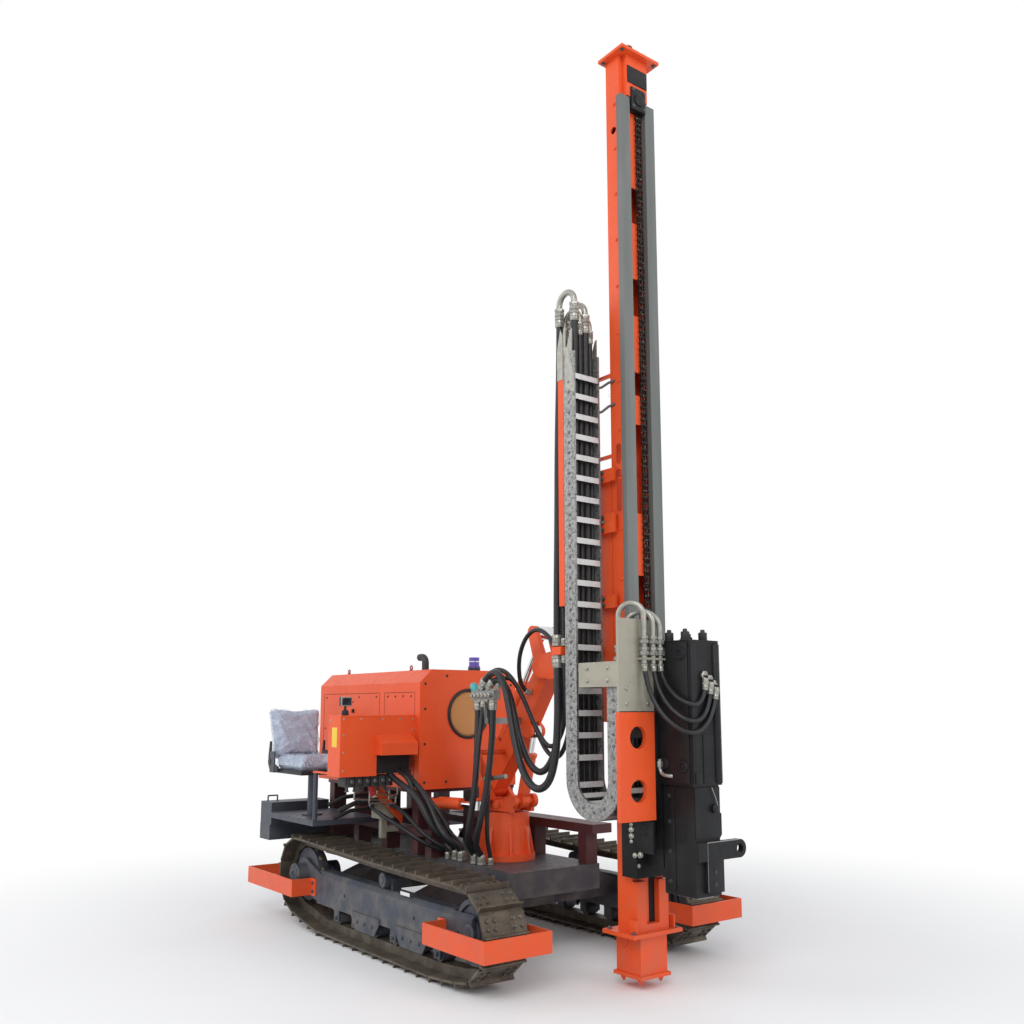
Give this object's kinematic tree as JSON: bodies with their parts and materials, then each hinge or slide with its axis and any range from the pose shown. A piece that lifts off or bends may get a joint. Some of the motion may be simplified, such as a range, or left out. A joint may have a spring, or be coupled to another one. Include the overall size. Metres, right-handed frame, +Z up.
{
  "type": "crawler pile driving rig",
  "caption": "Tracked pile driving rig with a tall guide mast, a sliding hammer on a feed carriage, an engine hood and a side seat with its control box.",
  "frame": {"origin": "centre of the plan on the ground", "axes": "+Z up along the mast, -Y towards the mast end (front), +X towards the machine's left side"},
  "size_m": [2.06, 3.95, 5.905],
  "materials": {
    "orange": "gloss orange paint",
    "grey": "satin dark grey paint",
    "maroon": "dark red-brown paint",
    "track_steel": "worn dark steel",
    "black_steel": "black paint",
    "steel": "bare steel",
    "beige": "zinc primed steel",
    "chain_grey": "zinc plated steel",
    "rod_chrome": "chromed rod",
    "rail_steel": "bare steel",
    "engine_iron": "dark iron",
    "seat_cover": "padding under thin clear film",
    "lamp_blue": "tinted lens",
    "black_plastic": "matt",
    "pipe_black": "heat-proof black",
    "tan": "tan disc in a black ring",
    "hose": "black hose"
  },
  "bodies": {
    "base": {"chassis": "grey", "upper_frame": "maroon", "track_frame_right": "grey", "track_frame_left": "grey", "track_right": "track_steel", "track_left": "track_steel", "idler_right": "grey", "idler_left": "grey", "sprocket_right": "grey", "sprocket_left": "grey", "rollers_right": "grey", "rollers_left": "grey", "guard_front_right": "orange", "guard_front_left": "orange", "guard_rear_right": "orange", "guard_rear_left": "orange", "hood": "orange", "fan_guard": "tan", "engine": "engine_iron", "control_box": "orange", "platform": "grey", "seat_base": "grey", "seat_cushion": "seat_cover", "seat_back": "seat_cover", "pedestal": "orange", "rear_box": "grey", "rear_beam": "grey", "valve_block": "beige", "exhaust": "pipe_black", "beacon": "lamp_blue", "display": "black_plastic", "valve_hoses": "hose"},
    "door": {"hood_door": "orange"},
    "turret": {"turret": "orange"},
    "swing_barrel": {"swing_barrel": "orange"},
    "swing_rod": {"swing_rod": "rod_chrome"},
    "boom": {"boom": "orange", "manifold": "steel"},
    "lift_barrel": {"lift_barrel": "orange"},
    "lift_rod": {"lift_rod": "rod_chrome"},
    "tilt_barrel": {"tilt_barrel": "orange"},
    "tilt_rod": {"tilt_rod": "rod_chrome"},
    "mast_carrier": {"mast_carrier": "orange", "slide_barrel": "steel", "loop_hoses": "hose"},
    "mast": {"mast_beam": "orange", "mast_rails": "rail_steel", "feed_chain": "track_steel", "mast_head": "orange", "mast_foot": "orange", "drag_chain": "chain_grey", "chain_bar": "orange", "slide_rod": "rod_chrome", "mast_hoses": "hose"},
    "carriage": {"carriage": "black_steel", "cover": "orange", "chain_bracket": "beige", "hammer_housing": "black_steel", "hammer_body": "black_steel", "carriage_pipes": "beige"}
  },
  "joints": [
    {"name": "boom_swing", "type": "hinge", "parent": "base", "child": "turret", "pos_m": [0, -0.07, 0.9], "axis": [0, 0, 1], "range_deg": [-15, 15]},
    {"name": "swing_barrel_turn", "type": "hinge", "parent": "base", "child": "swing_barrel", "pos_m": [-0.33, 0.33, 0.925], "axis": [0, 0, 1], "range_deg": [-3.17, 3.17]},
    {"name": "swing_rod_slide", "type": "slide", "parent": "swing_barrel", "child": "swing_rod", "axis": [0.2828, -0.9592, 0], "range_m": [-0.0546, 0.0546]},
    {"name": "boom_lift", "type": "hinge", "parent": "turret", "child": "boom", "pos_m": [0, 0.06, 1.04], "axis": [-1, 0, 0], "range_deg": [-14, 12], "deforming": ["valve_hoses"]},
    {"name": "lift_barrel_turn", "type": "hinge", "parent": "turret", "child": "lift_barrel", "pos_m": [0, -0.27, 0.96], "axis": [-1, 0, 0], "range_deg": [-15.2, 13.1]},
    {"name": "lift_rod_slide", "type": "slide", "parent": "lift_barrel", "child": "lift_rod", "axis": [0, -0.2666, 0.9638], "range_m": [-0.0843, 0.0726]},
    {"name": "mast_tilt", "type": "hinge", "parent": "boom", "child": "mast_carrier", "pos_m": [0, -0.58, 1.86], "axis": [-1, 0, 0], "range_deg": [-8, 80], "deforming": ["loop_hoses"]},
    {"name": "tilt_barrel_turn", "type": "hinge", "parent": "boom", "child": "tilt_barrel", "pos_m": [0, -0.03, 1.337], "axis": [-1, 0, 0], "range_deg": [-0.9, 4.51]},
    {"name": "tilt_rod_slide", "type": "slide", "parent": "tilt_barrel", "child": "tilt_rod", "axis": [0, -0.5329, 0.8462], "range_m": [-0.3131, 0.0331]},
    {"name": "mast_slide", "type": "slide", "parent": "mast_carrier", "child": "mast", "axis": [0, 0, -1], "range_m": [-0.5, 0]},
    {"name": "carriage_feed", "type": "slide", "parent": "mast", "child": "carriage", "axis": [0, 0, -1], "range_m": [-3.5, 0]},
    {"name": "door_hinge", "type": "hinge", "parent": "base", "child": "door", "pos_m": [0.434, 1.888, 1.39], "axis": [0, 0, 1], "range_deg": [0, 110]}
  ],
  "couplings": [
    {"joint": "swing_barrel_turn", "follows": "boom_swing", "ratio": -0.17831},
    {"joint": "swing_rod_slide", "follows": "boom_swing", "m_per_rad": 0.20104},
    {"joint": "lift_barrel_turn", "follows": "boom_lift", "ratio": 1.0499},
    {"joint": "lift_rod_slide", "follows": "boom_lift", "m_per_rad": 0.33695},
    {"joint": "tilt_barrel_turn", "follows": "mast_tilt", "ratio": 0.05012},
    {"joint": "tilt_rod_slide", "follows": "mast_tilt", "m_per_rad": -0.2228}
  ]
}
